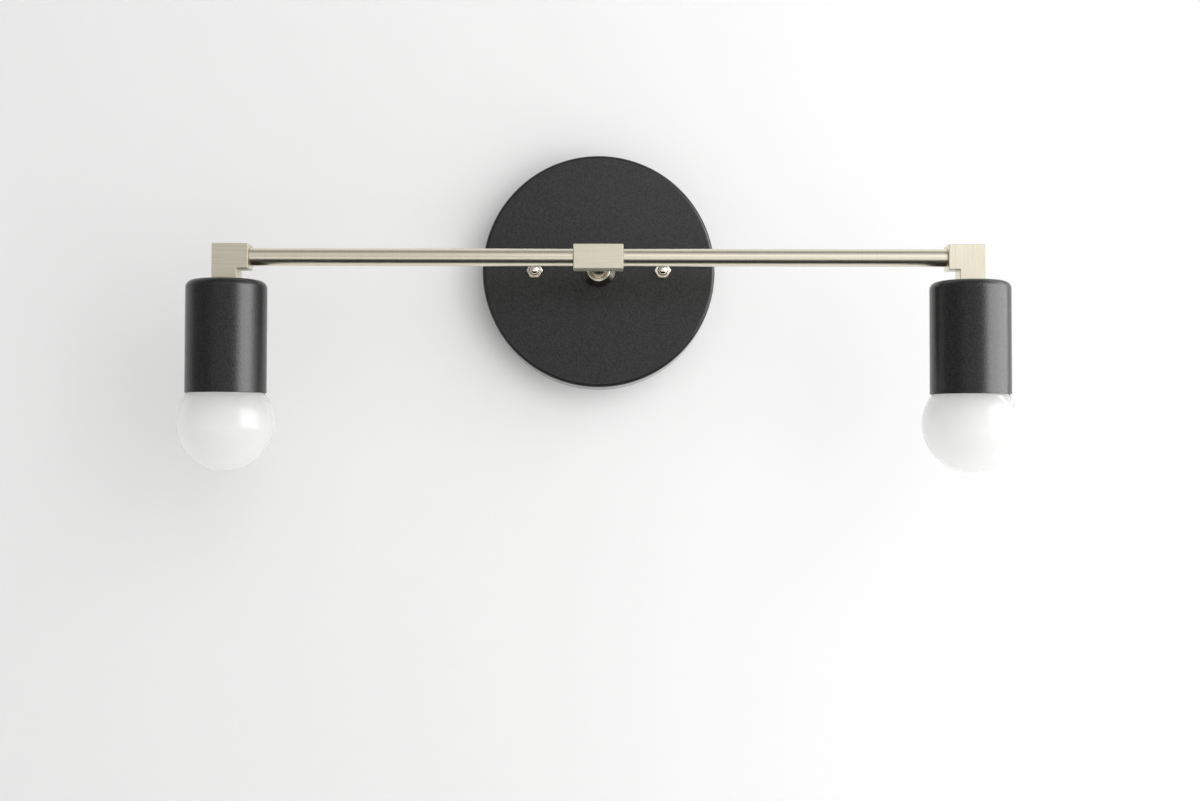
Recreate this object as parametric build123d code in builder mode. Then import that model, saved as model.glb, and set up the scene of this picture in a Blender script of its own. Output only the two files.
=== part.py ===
from build123d import *

import os
from math import sqrt

# Two-lamp bar vanity light. A round wall canopy carries a short stem, the stem carries a T block,
# two arm tubes run out of the T to square elbows, and a socket cup with a globe lamp hangs from
# each elbow. The four leads run inside the tubes to two wire connectors in the canopy.
# Origin at the canopy's centre on the wall plane, +Z up, wall in the XZ plane, light along -Y.
# All sizes are in millimetres.

# Canopy
canopy_diameter = 127.0  # across the front edge
canopy_depth = 21.0
canopy_draft = 0.8  # growth of the side wall's radius from the front to the wall
canopy_wall = 1.2
canopy_edge_radius = 2.0

# Strap and the screws that hold the canopy to it
screw_spacing = 69.85
strap_length = 108.0
strap_width = 19.0
strap_thickness = 1.8
strap_corner_radius = 4.0
strap_wire_hole = 13.0
box_screw_spacing = 88.9
box_slot_length = 8.0
box_slot_width = 4.6
stud_diameter = 4.1
strap_nut_across_flats = 8.7
strap_nut_height = 3.2
cap_nut_across_flats = 7.7
cap_nut_hex_height = 4.0
cap_nut_groove_width = 0.4  # round the dome's foot
cap_nut_groove_depth = 0.5
cap_nut_dome_diameter = 5.8
cap_nut_dome_band = 0.5
cap_nut_dome_flat = 0.2  # radius of the flat at the dome's top
cap_nut_thread_depth = 5.0
ground_screw_place = 20.0  # from the strap's centre
ground_screw_diameter = 4.6
ground_screw_across_flats = 7.9
ground_screw_head_height = 2.8
ground_screw_flange_diameter = 10.0
ground_screw_flange_height = 0.8
ground_screw_slot_width = 1.2
ground_screw_slot_depth = 1.2

# Clearances of threaded holes, plain holes and seated cylinders, all radial
thread_clearance = 0.05
hole_clearance = 0.15

# Bar: stem, T block, arm tubes and elbows
bar_stand_off = 85.0  # wall plane to the bar's axis
lamp_spacing = 378.0  # between the axes of the two cups
block_section = 12.7
tee_length = 25.4
tee_edge = 0.4
elbow_length = 18.4
elbow_edge = 0.25
tube_diameter = 9.0
tube_bore = 6.2
tube_edge = 0.3
tube_thread_diameter = 8.0
arm_thread_length = 7.0
stem_thread_length = 4.0
stem_thread_end = 0.8  # thread left past the nut
stem_nut_across_flats = 13.0
stem_nut_height = 3.5
stem_washer_diameter = 15.0
stem_washer_thickness = 0.8
stem_washer_teeth = 10
stem_washer_tooth_gap = 1.3
collar_base_diameter = 18.0
collar_base_band = 0.8
collar_front_diameter = 12.2
collar_height = 6.0
collar_recess_diameter = 10.6
collar_recess_depth = 1.2
collar_lip_radius = 0.35

# Socket cup and what fixes it
cup_diameter = 41.0
cup_height = 57.3
cup_wall = 0.8
cup_edge_radius = 4.0
nipple_bore = 6.0
nipple_engagement = 6.0
nipple_thread_end = 0.5
nipple_nut_across_flats = 11.0
nipple_nut_height = 3.0
bracket_length = 27.0
bracket_width = 10.0
bracket_thickness = 1.2
bracket_corner_radius = 3.0

# Lamp holder
holder_top_diameter = 30.0
holder_top_height = 9.0
holder_diameter = 34.0
holder_height = 36.0
holder_edge_radius = 1.5
holder_recess_diameter = 13.6
holder_recess_depth = 5.0
holder_web = 5.0
holder_screw_spacing = 19.2
holder_screw_diameter = 3.3
holder_screw_head_diameter = 5.2
holder_screw_head_height = 2.0
shell_wall = 0.5
shell_length = 24.0
shell_floor_hole = 11.0
shell_clearance = 0.35  # round the lamp's cap
contact_thickness = 0.5
contact_width = 5.0
contact_reach = 3.2
contact_drop = 2.3
contact_bend_radius = 1.1

# Globe lamp
globe_diameter = 49.0
globe_gap = 0.3  # between the globe and the cup's mouth
glass_wall = 0.8
neck_blend_radius = 10.0
cap_diameter = 26.1
cap_length = 21.0
cap_wall = 0.4
cap_shoulder = 1.2
neck_in_cap = 10.0
insulator_diameter = 22.0
insulator_height = 3.6
insulator_seat = 2.0
tip_diameter = 9.0
tip_height = 1.5
tip_edge_radius = 0.7
tip_gap = 0.3
flare_thickness = 1.6
flare_height = 9.0
glass_stem_diameter = 4.0
glass_stem_length = 34.0
filament_count = 4
filament_diameter = 1.6
filament_gap = 0.5  # under the flare
filament_circle = 9.0
filament_ring_height = 1.0

# Leads and wire connectors
lead_diameter = 1.9
lead_gap = 0.15
lead_bend_radius = 4.0
lead_elbow_radius = 5.0
lead_twist_radius = 60.0
lead_twist_start = 20.0  # where the pair begins to turn in its arm tube
lead_twist_end = 165.0
lead_riser_out = 10.5  # wall plane to the leads that rise in the canopy
lead_entry_depth = 3.0
connector_place = 24.0  # above and below the stem
connector_mouth = 8.5
connector_length = 22.0
connector_diameter = 12.0
connector_band = 5.0
connector_tip_diameter = 7.6
connector_bore_depth = 8.0
connector_lead_depth = 7.0
connector_entry_radius = 6.0

# Places worked out from the sizes above
wall_plane = Plane(origin=(0, 0, 0), x_dir=(1, 0, 0), z_dir=(0, -1, 0))
canopy_front = wall_plane.offset(canopy_depth)
canopy_inner = wall_plane.offset(canopy_depth - canopy_wall)
bar_y = -bar_stand_off
face_y = -canopy_depth
tee_back_y = bar_y + block_section / 2
half_section = block_section / 2
lamp_x = lamp_spacing / 2
elbow_inner_x = lamp_x + half_section - elbow_length
elbow_bottom_z = half_section - elbow_length
bar_axis = Axis((0, bar_y, 0), (1, 0, 0))
stud_radius = stud_diameter / 2
tube_radius = tube_diameter / 2
tube_bore_radius = tube_bore / 2
tube_thread_radius = tube_thread_diameter / 2
tapped_radius = tube_thread_radius + thread_clearance

cup_radius = cup_diameter / 2
cup_mouth_z = elbow_bottom_z - cup_height
bracket_top_z = elbow_bottom_z - cup_wall
holder_top_z = bracket_top_z - bracket_thickness
recess_floor_z = holder_top_z - holder_recess_depth
cavity_top_z = recess_floor_z - holder_web
holder_mouth_z = holder_top_z - holder_height
shell_floor_z = cavity_top_z - shell_wall
cap_radius = cap_diameter / 2
shell_radius = cap_radius + shell_clearance + shell_wall
contact_low_z = cavity_top_z - contact_drop - contact_thickness

tip_top_z = contact_low_z - tip_gap
insulator_top_z = tip_top_z - tip_height
cap_top_z = insulator_top_z - insulator_height
cap_rim_z = cap_top_z - cap_length
globe_radius = globe_diameter / 2
globe_mouth_radius = cup_radius - cup_wall - globe_gap
globe_z = cup_mouth_z - sqrt(globe_radius**2 - globe_mouth_radius**2)
neck_radius = cap_radius - cap_wall - hole_clearance

lead_radius = lead_diameter / 2
lead_pitch = (lead_diameter + lead_gap) / 2  # half the spacing of two leads side by side
lead_offset = lead_pitch * sqrt(2)  # off the tube's axis, so that the pair can turn without touching
lead_end_z = recess_floor_z - lead_entry_depth

os.makedirs("parts", exist_ok=True)

# Canopy: a drawn steel pan, open to the wall, with a stem hole and two screw holes in its face
with BuildPart() as canopy:
    with BuildSketch(Plane.XY):
        with BuildLine():
            front_radius = canopy_diameter / 2
            rim_radius = front_radius + canopy_draft
            stem_hole_radius = tube_thread_radius + hole_clearance
            FilletPolyline(
                (stem_hole_radius, face_y),
                (front_radius, face_y),
                (rim_radius, 0),
                (rim_radius - canopy_wall, 0),
                (front_radius - canopy_wall, face_y + canopy_wall),
                (stem_hole_radius, face_y + canopy_wall),
                radius=[0, canopy_edge_radius, 0, 0, max(canopy_edge_radius - canopy_wall, 0), 0],
                close=True,
            )
        make_face()
    revolve(axis=Axis.Y)
    with BuildSketch(canopy_front):
        with GridLocations(screw_spacing, 1, 2, 1):
            Circle(stud_radius + hole_clearance)
    extrude(amount=-canopy_wall, mode=Mode.SUBTRACT)
canopy.part.label = "canopy"
export_step(canopy.part, "parts/canopy.step")

# Mounting strap: a flat steel bar on the outlet box, slotted for the box screws and tapped for the studs
with BuildPart() as mounting_strap:
    with BuildSketch(wall_plane):
        RectangleRounded(strap_length, strap_width, strap_corner_radius)
        Circle(strap_wire_hole / 2, mode=Mode.SUBTRACT)
        with GridLocations(screw_spacing, 1, 2, 1):
            Circle(stud_radius + thread_clearance, mode=Mode.SUBTRACT)
        with GridLocations(box_screw_spacing, 1, 2, 1):
            SlotOverall(box_slot_length, box_slot_width, mode=Mode.SUBTRACT)
        with Locations((ground_screw_place, 0)):
            Circle(ground_screw_diameter / 2 + thread_clearance, mode=Mode.SUBTRACT)
    extrude(amount=strap_thickness)
mounting_strap.part.label = "mounting_strap"
export_step(mounting_strap.part, "parts/mounting_strap.step")

# Mounting studs: two threaded rods that stand out of the strap and through the canopy's face
with BuildPart() as mounting_studs:
    with BuildSketch(wall_plane):
        with GridLocations(screw_spacing, 1, 2, 1):
            Circle(stud_radius)
    extrude(amount=canopy_depth + cap_nut_thread_depth - hole_clearance)
mounting_studs.part.label = "mounting_studs"
export_step(mounting_studs.part, "parts/mounting_studs.step")

# Strap nuts: hexagon nuts that lock the studs on the strap
with BuildPart() as strap_nuts:
    with BuildSketch(wall_plane.offset(strap_thickness)):
        with GridLocations(screw_spacing, 1, 2, 1):
            RegularPolygon(strap_nut_across_flats / 2, 6, major_radius=False)
            Circle(stud_radius + thread_clearance, mode=Mode.SUBTRACT)
    extrude(amount=strap_nut_height)
strap_nuts.part.label = "strap_nuts"
export_step(strap_nuts.part, "parts/strap_nuts.step")

# Cap nuts: domed hexagon nuts on the studs, tight on the canopy's face, grooved round the dome
with BuildPart() as cap_nuts:
    with BuildSketch(canopy_front):
        with GridLocations(screw_spacing, 1, 2, 1):
            RegularPolygon(cap_nut_across_flats / 2, 6, major_radius=False)
    extrude(amount=cap_nut_hex_height)
    dome_radius = cap_nut_dome_diameter / 2
    dome_rounding = dome_radius - cap_nut_dome_flat
    with BuildSketch(canopy_front.offset(cap_nut_hex_height)):
        with GridLocations(screw_spacing, 1, 2, 1):
            Circle(dome_radius + cap_nut_groove_width)
            Circle(dome_radius, mode=Mode.SUBTRACT)
    extrude(amount=-cap_nut_groove_depth, mode=Mode.SUBTRACT)
    with BuildSketch(canopy_front.offset(cap_nut_hex_height)):
        with GridLocations(screw_spacing, 1, 2, 1):
            Circle(dome_radius)
    extrude(amount=cap_nut_dome_band + dome_rounding)
    fillet(cap_nuts.edges().group_by(Axis.Y)[0], dome_rounding)
    with BuildSketch(canopy_front):
        with GridLocations(screw_spacing, 1, 2, 1):
            Circle(stud_radius + thread_clearance)
    extrude(amount=cap_nut_thread_depth, mode=Mode.SUBTRACT)
cap_nuts.part.label = "cap_nuts"
export_step(cap_nuts.part, "parts/cap_nuts.step")

# Ground screw: slotted hexagon head with a flange, in the strap
with BuildPart() as ground_screw:
    head_base = strap_thickness + ground_screw_flange_height
    head_top = head_base + ground_screw_head_height
    with BuildSketch(wall_plane):
        with Locations((ground_screw_place, 0)):
            Circle(ground_screw_diameter / 2)
    extrude(amount=strap_thickness)
    with BuildSketch(wall_plane.offset(strap_thickness)):
        with Locations((ground_screw_place, 0)):
            Circle(ground_screw_flange_diameter / 2)
    extrude(amount=ground_screw_flange_height)
    with BuildSketch(wall_plane.offset(head_base)):
        with Locations((ground_screw_place, 0)):
            RegularPolygon(ground_screw_across_flats / 2, 6, major_radius=False)
    extrude(amount=ground_screw_head_height)
    with BuildSketch(wall_plane.offset(head_top)):
        with Locations((ground_screw_place, 0)):
            Rectangle(ground_screw_flange_diameter, ground_screw_slot_width)
    extrude(amount=-ground_screw_slot_depth, mode=Mode.SUBTRACT)
ground_screw.part.label = "ground_screw"
export_step(ground_screw.part, "parts/ground_screw.step")

# Stem collar: a turned cone on the canopy round the stem, with a recess and a rounded lip in front
with BuildPart() as stem_collar:
    with BuildSketch(Plane.XY):
        with BuildLine():
            collar_bore_radius = tube_radius + hole_clearance
            FilletPolyline(
                (collar_bore_radius, face_y),
                (collar_base_diameter / 2, face_y),
                (collar_base_diameter / 2, face_y - collar_base_band),
                (collar_front_diameter / 2, face_y - collar_height),
                (collar_recess_diameter / 2, face_y - collar_height),
                (collar_recess_diameter / 2, face_y - collar_height + collar_recess_depth),
                (collar_bore_radius, face_y - collar_height + collar_recess_depth),
                radius=[0, 0, 0, collar_lip_radius, collar_lip_radius, 0, 0],
                close=True,
            )
        make_face()
    revolve(axis=Axis.Y)
stem_collar.part.label = "stem_collar"
export_step(stem_collar.part, "parts/stem_collar.step")

# Stem: a tube that shoulders on the canopy and on the T block, with a thread turned on each end
stem_end_y = face_y + canopy_wall + stem_washer_thickness + stem_nut_height + stem_thread_end
with BuildPart() as stem:
    with BuildSketch(Plane.XY):
        with BuildLine():
            Polyline(
                (tube_bore_radius, stem_end_y),
                (tube_thread_radius, stem_end_y),
                (tube_thread_radius, face_y),
                (tube_radius, face_y),
                (tube_radius, tee_back_y),
                (tube_thread_radius, tee_back_y),
                (tube_thread_radius, tee_back_y - stem_thread_length),
                (tube_bore_radius, tee_back_y - stem_thread_length),
                close=True,
            )
        make_face()
    revolve(axis=Axis.Y)
stem.part.label = "stem"
export_step(stem.part, "parts/stem.step")

# Stem washer: a toothed lock washer against the inside of the canopy
with BuildPart() as stem_washer:
    with BuildSketch(canopy_inner):
        Circle(stem_washer_diameter / 2)
        Circle(tube_thread_radius + hole_clearance, mode=Mode.SUBTRACT)
        with PolarLocations((tube_thread_radius + stem_washer_diameter / 2) / 2, stem_washer_teeth):
            tooth_gap_length = stem_washer_diameter / 2 - tube_thread_radius
            SlotOverall(tooth_gap_length / 2, stem_washer_tooth_gap, mode=Mode.SUBTRACT)
    extrude(amount=-stem_washer_thickness)
stem_washer.part.label = "stem_washer"
export_step(stem_washer.part, "parts/stem_washer.step")

# Stem nut: the hexagon nut that clamps the stem to the canopy from inside
with BuildPart() as stem_nut:
    with BuildSketch(canopy_inner.offset(-stem_washer_thickness)):
        RegularPolygon(stem_nut_across_flats / 2, 6, major_radius=False)
        Circle(tapped_radius, mode=Mode.SUBTRACT)
    extrude(amount=-stem_nut_height)
stem_nut.part.label = "stem_nut"
export_step(stem_nut.part, "parts/stem_nut.step")

# T block: a square bar, drilled through for the arm tubes and from the back for the stem
with BuildPart(Plane((0, bar_y, 0))) as tee_block:
    Box(tee_length, block_section, block_section)
    chamfer(tee_block.edges(), tee_edge)
    with BuildSketch(Plane(origin=(0, bar_y, 0), x_dir=(0, 1, 0), z_dir=(1, 0, 0))):
        Circle(tapped_radius)
    extrude(amount=tee_length / 2, both=True, mode=Mode.SUBTRACT)
    with BuildSketch(Plane(origin=(0, bar_y, 0), x_dir=(1, 0, 0), z_dir=(0, 1, 0))):
        Circle(tapped_radius)
    extrude(amount=half_section, mode=Mode.SUBTRACT)
tee_block.part.label = "tee_block"
export_step(tee_block.part, "parts/tee_block.step")

# Wire connectors: twist-on plastic cones, one for the live pair above the stem and one below
with BuildPart() as wire_connectors:
    for level in (1, -1):
        connector_plane = Plane((0, -lead_riser_out, level * connector_place))
        connector_tip = connector_mouth + connector_length
        connector_floor = connector_mouth + connector_bore_depth
        connector_bore_radius = lead_pitch + lead_radius + lead_gap
        with BuildSketch(connector_plane):
            with BuildLine():
                Polyline(
                    (connector_mouth, connector_bore_radius),
                    (connector_mouth, connector_diameter / 2),
                    (connector_mouth + connector_band, connector_diameter / 2),
                    (connector_tip, connector_tip_diameter / 2),
                    (connector_tip, 0),
                    (connector_floor, 0),
                    (connector_floor, connector_bore_radius),
                    close=True,
                )
            make_face()
        revolve(axis=Axis(connector_plane.origin, (1, 0, 0)))
wire_connectors.part.label = "wire_connectors"
export_step(wire_connectors.part, "parts/wire_connectors.step")

# The two arms, alike but mirrored: side is -1 on the left and 1 on the right
for side_name, side in (("left", -1), ("right", 1)):
    lamp_axis = Axis((side * lamp_x, bar_y, 0), (0, 0, 1))
    lamp_section = Plane(origin=(side * lamp_x, bar_y, 0), x_dir=(1, 0, 0), z_dir=(0, -1, 0))
    lamp_plan = Plane((side * lamp_x, bar_y, 0))

    # Arm tube: shouldered between the T block and the elbow, with a thread turned on each end
    with BuildPart() as arm_tube:
        tee_end = tee_length / 2
        with BuildSketch(Plane((0, bar_y, 0))):
            with BuildLine():
                outline = (
                    (tee_end - arm_thread_length, tube_bore_radius),
                    (tee_end - arm_thread_length, tube_thread_radius),
                    (tee_end, tube_thread_radius),
                    (tee_end, tube_radius - tube_edge),
                    (tee_end + tube_edge, tube_radius),
                    (elbow_inner_x - tube_edge, tube_radius),
                    (elbow_inner_x, tube_radius - tube_edge),
                    (elbow_inner_x, tube_thread_radius),
                    (elbow_inner_x + arm_thread_length, tube_thread_radius),
                    (elbow_inner_x + arm_thread_length, tube_bore_radius),
                )
                Polyline([(side * along, radius) for along, radius in outline], close=True)
            make_face()
        revolve(axis=bar_axis)
    arm_tube.part.label = f"{side_name}_arm_tube"
    export_step(arm_tube.part, f"parts/{side_name}_arm_tube.step")

    # Elbow: a square bar block cut to an L, drilled from both ends until the two bores meet
    with BuildPart() as elbow:
        with BuildSketch(lamp_section):
            with BuildLine():
                outline = (
                    (-half_section, half_section),
                    (elbow_length - half_section, half_section),
                    (elbow_length - half_section, -half_section),
                    (half_section, -half_section),
                    (half_section, elbow_bottom_z),
                    (-half_section, elbow_bottom_z),
                )
                Polyline([(-side * inward, height) for inward, height in outline], close=True)
            make_face()
        extrude(amount=half_section, both=True)
        inner_corner = Vector(side * (lamp_x - half_section), bar_y, -half_section)
        outer_edges = elbow.edges().filter_by(
            lambda edge: (edge.center() - inner_corner).length > elbow_edge
        )
        chamfer(outer_edges, elbow_edge)
        bore_reach = elbow_length - half_section + tapped_radius
        tube_end = Plane((side * elbow_inner_x, bar_y, 0), x_dir=(0, 1, 0), z_dir=(side, 0, 0))
        with BuildSketch(tube_end):
            Circle(tapped_radius)
        extrude(amount=bore_reach, mode=Mode.SUBTRACT)
        with BuildSketch(lamp_plan.offset(elbow_bottom_z)):
            Circle(tapped_radius)
        extrude(amount=bore_reach, mode=Mode.SUBTRACT)
    elbow.part.label = f"{side_name}_elbow"
    export_step(elbow.part, f"parts/{side_name}_elbow.step")

    # Socket nipple: the threaded tube that ties cup, bracket and elbow together
    with BuildPart() as socket_nipple:
        clamped = cup_wall + bracket_thickness + nipple_nut_height + nipple_thread_end
        with BuildSketch(lamp_plan.offset(elbow_bottom_z + nipple_engagement)):
            Circle(tube_thread_radius)
            Circle(nipple_bore / 2, mode=Mode.SUBTRACT)
        extrude(amount=-(nipple_engagement + clamped))
    socket_nipple.part.label = f"{side_name}_socket_nipple"
    export_step(socket_nipple.part, f"parts/{side_name}_socket_nipple.step")

    # Socket cup: a spun shell with a rounded top, a nipple hole and an open mouth
    with BuildPart() as socket_cup:
        with BuildSketch(lamp_section):
            with BuildLine():
                cup_hole_radius = tube_thread_radius + hole_clearance
                FilletPolyline(
                    (cup_hole_radius, elbow_bottom_z),
                    (cup_radius, elbow_bottom_z),
                    (cup_radius, cup_mouth_z),
                    (cup_radius - cup_wall, cup_mouth_z),
                    (cup_radius - cup_wall, elbow_bottom_z - cup_wall),
                    (cup_hole_radius, elbow_bottom_z - cup_wall),
                    radius=[0, cup_edge_radius, 0, 0, max(cup_edge_radius - cup_wall, 0), 0],
                    close=True,
                )
            make_face()
        revolve(axis=lamp_axis)
    socket_cup.part.label = f"{side_name}_socket_cup"
    export_step(socket_cup.part, f"parts/{side_name}_socket_cup.step")

    # Holder bracket: the steel strap that hangs the lamp holder from the nipple
    with BuildPart() as holder_bracket:
        with BuildSketch(lamp_plan.offset(bracket_top_z)):
            RectangleRounded(bracket_length, bracket_width, bracket_corner_radius)
            Circle(tube_thread_radius + hole_clearance, mode=Mode.SUBTRACT)
            with GridLocations(holder_screw_spacing, 1, 2, 1):
                Circle(holder_screw_diameter / 2 + thread_clearance, mode=Mode.SUBTRACT)
        extrude(amount=-bracket_thickness)
    holder_bracket.part.label = f"{side_name}_holder_bracket"
    export_step(holder_bracket.part, f"parts/{side_name}_holder_bracket.step")

    # Nipple nut: clamps the bracket and the cup up against the elbow
    with BuildPart() as nipple_nut:
        with BuildSketch(lamp_plan.offset(holder_top_z)):
            RegularPolygon(nipple_nut_across_flats / 2, 6, major_radius=False)
            Circle(tapped_radius, mode=Mode.SUBTRACT)
        extrude(amount=-nipple_nut_height)
    nipple_nut.part.label = f"{side_name}_nipple_nut"
    export_step(nipple_nut.part, f"parts/{side_name}_nipple_nut.step")

    # Lamp holder: a porcelain body with a recess for the nut above and the lamp's cavity below
    with BuildPart() as lamp_holder:
        with BuildSketch(lamp_section):
            with BuildLine():
                cavity_radius = shell_radius + hole_clearance
                shoulder_z = holder_top_z - holder_top_height
                rounding = holder_edge_radius
                FilletPolyline(
                    (0, recess_floor_z),
                    (holder_recess_diameter / 2, recess_floor_z),
                    (holder_recess_diameter / 2, holder_top_z),
                    (holder_top_diameter / 2, holder_top_z),
                    (holder_top_diameter / 2, shoulder_z),
                    (holder_diameter / 2, shoulder_z),
                    (holder_diameter / 2, holder_mouth_z),
                    (cavity_radius, holder_mouth_z),
                    (cavity_radius, cavity_top_z),
                    (0, cavity_top_z),
                    radius=[0, 0, 0, rounding, 0, rounding, rounding, 0, 0, 0],
                    close=True,
                )
            make_face()
        revolve(axis=lamp_axis)
        with BuildSketch(lamp_plan.offset(holder_top_z)):
            with GridLocations(holder_screw_spacing, 1, 2, 1):
                Circle(holder_screw_diameter / 2 + hole_clearance)
        extrude(amount=-(holder_recess_depth + holder_web), mode=Mode.SUBTRACT)
        with BuildSketch(lamp_plan.offset(recess_floor_z)):
            with GridLocations(1, 2 * lead_offset, 1, 2):
                Circle(lead_radius + hole_clearance)
        extrude(amount=-lead_entry_depth, mode=Mode.SUBTRACT)
    lamp_holder.part.label = f"{side_name}_lamp_holder"
    export_step(lamp_holder.part, f"parts/{side_name}_lamp_holder.step")

    # Screw shell: the thin metal sleeve that takes the lamp's cap, held by its floor
    with BuildPart() as screw_shell:
        with BuildSketch(lamp_section):
            with BuildLine():
                shell_end_z = cavity_top_z - shell_length
                Polyline(
                    (shell_floor_hole / 2, cavity_top_z),
                    (shell_radius, cavity_top_z),
                    (shell_radius, shell_end_z),
                    (shell_radius - shell_wall, shell_end_z),
                    (shell_radius - shell_wall, shell_floor_z),
                    (shell_floor_hole / 2, shell_floor_z),
                    close=True,
                )
            make_face()
        revolve(axis=lamp_axis)
        with BuildSketch(lamp_plan.offset(cavity_top_z)):
            with GridLocations(holder_screw_spacing, 1, 2, 1):
                Circle(holder_screw_diameter / 2 + hole_clearance)
        extrude(amount=-shell_wall, mode=Mode.SUBTRACT)
    screw_shell.part.label = f"{side_name}_screw_shell"
    export_step(screw_shell.part, f"parts/{side_name}_screw_shell.step")

    # Holder screws: two screws from the shell's floor through the porcelain into the bracket
    with BuildPart() as holder_screws:
        with BuildSketch(lamp_plan.offset(bracket_top_z)):
            with GridLocations(holder_screw_spacing, 1, 2, 1):
                Circle(holder_screw_diameter / 2)
        extrude(amount=shell_floor_z - bracket_top_z)
        with BuildSketch(lamp_plan.offset(shell_floor_z)):
            with GridLocations(holder_screw_spacing, 1, 2, 1):
                Circle(holder_screw_head_diameter / 2)
        extrude(amount=-holder_screw_head_height)
    holder_screws.part.label = f"{side_name}_holder_screws"
    export_step(holder_screws.part, f"parts/{side_name}_holder_screws.step")

    # Centre contact: a springy brass leaf, folded back under itself against the lamp's tip
    with BuildPart() as centre_contact:
        with BuildSketch(lamp_section):
            with BuildLine():
                upper_leaf_z = cavity_top_z - contact_thickness / 2
                FilletPolyline(
                    (-contact_reach, upper_leaf_z),
                    (contact_reach, upper_leaf_z),
                    (contact_reach, upper_leaf_z - contact_drop),
                    (-contact_reach, upper_leaf_z - contact_drop),
                    radius=contact_bend_radius,
                )
            trace(line_width=contact_thickness)
        extrude(amount=contact_width / 2, both=True)
    centre_contact.part.label = f"{side_name}_centre_contact"
    export_step(centre_contact.part, f"parts/{side_name}_centre_contact.step")

    # Lamp tip: the solder button that meets the centre contact
    with BuildPart() as lamp_tip:
        with BuildSketch(lamp_plan.offset(insulator_top_z)):
            Circle(tip_diameter / 2)
        extrude(amount=tip_height)
        fillet(lamp_tip.edges().group_by(Axis.Z)[-1], tip_edge_radius)
    lamp_tip.part.label = f"{side_name}_lamp_tip"
    export_step(lamp_tip.part, f"parts/{side_name}_lamp_tip.step")

    # Lamp insulator: a glass cone between the tip and the cap
    with BuildPart() as lamp_insulator:
        with BuildSketch(lamp_section):
            with BuildLine():
                Polyline(
                    (0, insulator_top_z),
                    (tip_diameter / 2, insulator_top_z),
                    (insulator_diameter / 2, cap_top_z),
                    (insulator_diameter / 2, cap_top_z - insulator_seat),
                    (0, cap_top_z - insulator_seat),
                    close=True,
                )
            make_face()
        revolve(axis=lamp_axis)
    lamp_insulator.part.label = f"{side_name}_lamp_insulator"
    export_step(lamp_insulator.part, f"parts/{side_name}_lamp_insulator.step")

    # Lamp cap: the screw cap's metal shell, drawn in at the top round the insulator
    with BuildPart() as lamp_cap:
        with BuildSketch(lamp_section):
            with BuildLine():
                cap_hole_radius = insulator_diameter / 2 + thread_clearance
                Polyline(
                    (cap_hole_radius, cap_top_z),
                    (cap_radius, cap_top_z - cap_shoulder),
                    (cap_radius, cap_rim_z),
                    (cap_radius - cap_wall, cap_rim_z),
                    (cap_radius - cap_wall, cap_top_z - cap_shoulder - cap_wall),
                    (cap_hole_radius, cap_top_z - cap_wall),
                    close=True,
                )
            make_face()
        revolve(axis=lamp_axis)
    lamp_cap.part.label = f"{side_name}_lamp_cap"
    export_step(lamp_cap.part, f"parts/{side_name}_lamp_cap.step")

    # Lamp globe: a blown opal bulb, a sphere that a blend arc draws in to the neck inside the cap
    with BuildPart() as lamp_globe:
        with BuildSketch(lamp_section):
            with BuildLine():
                blend_x = neck_radius + neck_blend_radius
                blend_rise = sqrt((globe_radius + neck_blend_radius) ** 2 - blend_x**2)
                blend_z = globe_z + blend_rise
                neck_top_z = cap_rim_z + neck_in_cap
                for wall_in in (0, glass_wall):
                    sphere_radius = globe_radius - wall_in
                    share = sphere_radius / (globe_radius + neck_blend_radius)
                    sphere_start = (share * blend_x, globe_z + share * blend_rise)
                    Line((neck_radius - wall_in, neck_top_z), (neck_radius - wall_in, blend_z))
                    TangentArc((neck_radius - wall_in, blend_z), sphere_start, tangent=(0, -1))
                    ThreePointArc(sphere_start, (sphere_radius, globe_z), (0, globe_z - sphere_radius))
                Line((neck_radius, neck_top_z), (neck_radius - glass_wall, neck_top_z))
                Line((0, globe_z - globe_radius), (0, globe_z - globe_radius + glass_wall))
            make_face()
        revolve(axis=lamp_axis)
    lamp_globe.part.label = f"{side_name}_lamp_globe"
    export_step(lamp_globe.part, f"parts/{side_name}_lamp_globe.step")

    # Glass stem: the flare that closes the neck inside the globe, drawn out to a rod
    with BuildPart() as glass_stem:
        with BuildSketch(lamp_section):
            with BuildLine():
                flare_radius = neck_radius - glass_wall - hole_clearance
                rod_radius = glass_stem_diameter / 2
                Polyline(
                    (0, cap_rim_z),
                    (flare_radius, cap_rim_z),
                    (flare_radius, cap_rim_z - flare_thickness),
                    (rod_radius, cap_rim_z - flare_height),
                    (rod_radius, cap_rim_z - glass_stem_length),
                    (0, cap_rim_z - glass_stem_length),
                    close=True,
                )
            make_face()
        revolve(axis=lamp_axis)
    glass_stem.part.label = f"{side_name}_glass_stem"
    export_step(glass_stem.part, f"parts/{side_name}_glass_stem.step")

    # Filament cage: straight filaments between two rings on the glass stem
    with BuildPart() as filament_cage:
        cage_low_z = cap_rim_z - glass_stem_length
        filament_length = glass_stem_length - flare_height - filament_gap
        ring_radius = filament_circle / 2 + filament_diameter
        ring_bore_radius = glass_stem_diameter / 2 + hole_clearance
        for ring_z in (cage_low_z, cage_low_z + filament_length - filament_ring_height):
            with BuildSketch(lamp_plan.offset(ring_z)):
                Circle(ring_radius)
                Circle(ring_bore_radius, mode=Mode.SUBTRACT)
            extrude(amount=filament_ring_height)
        with BuildSketch(lamp_plan.offset(cage_low_z)):
            with PolarLocations(filament_circle / 2, filament_count):
                Circle(filament_diameter / 2)
        extrude(amount=filament_length)
    filament_cage.part.label = f"{side_name}_filament_cage"
    export_step(filament_cage.part, f"parts/{side_name}_filament_cage.step")

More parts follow.
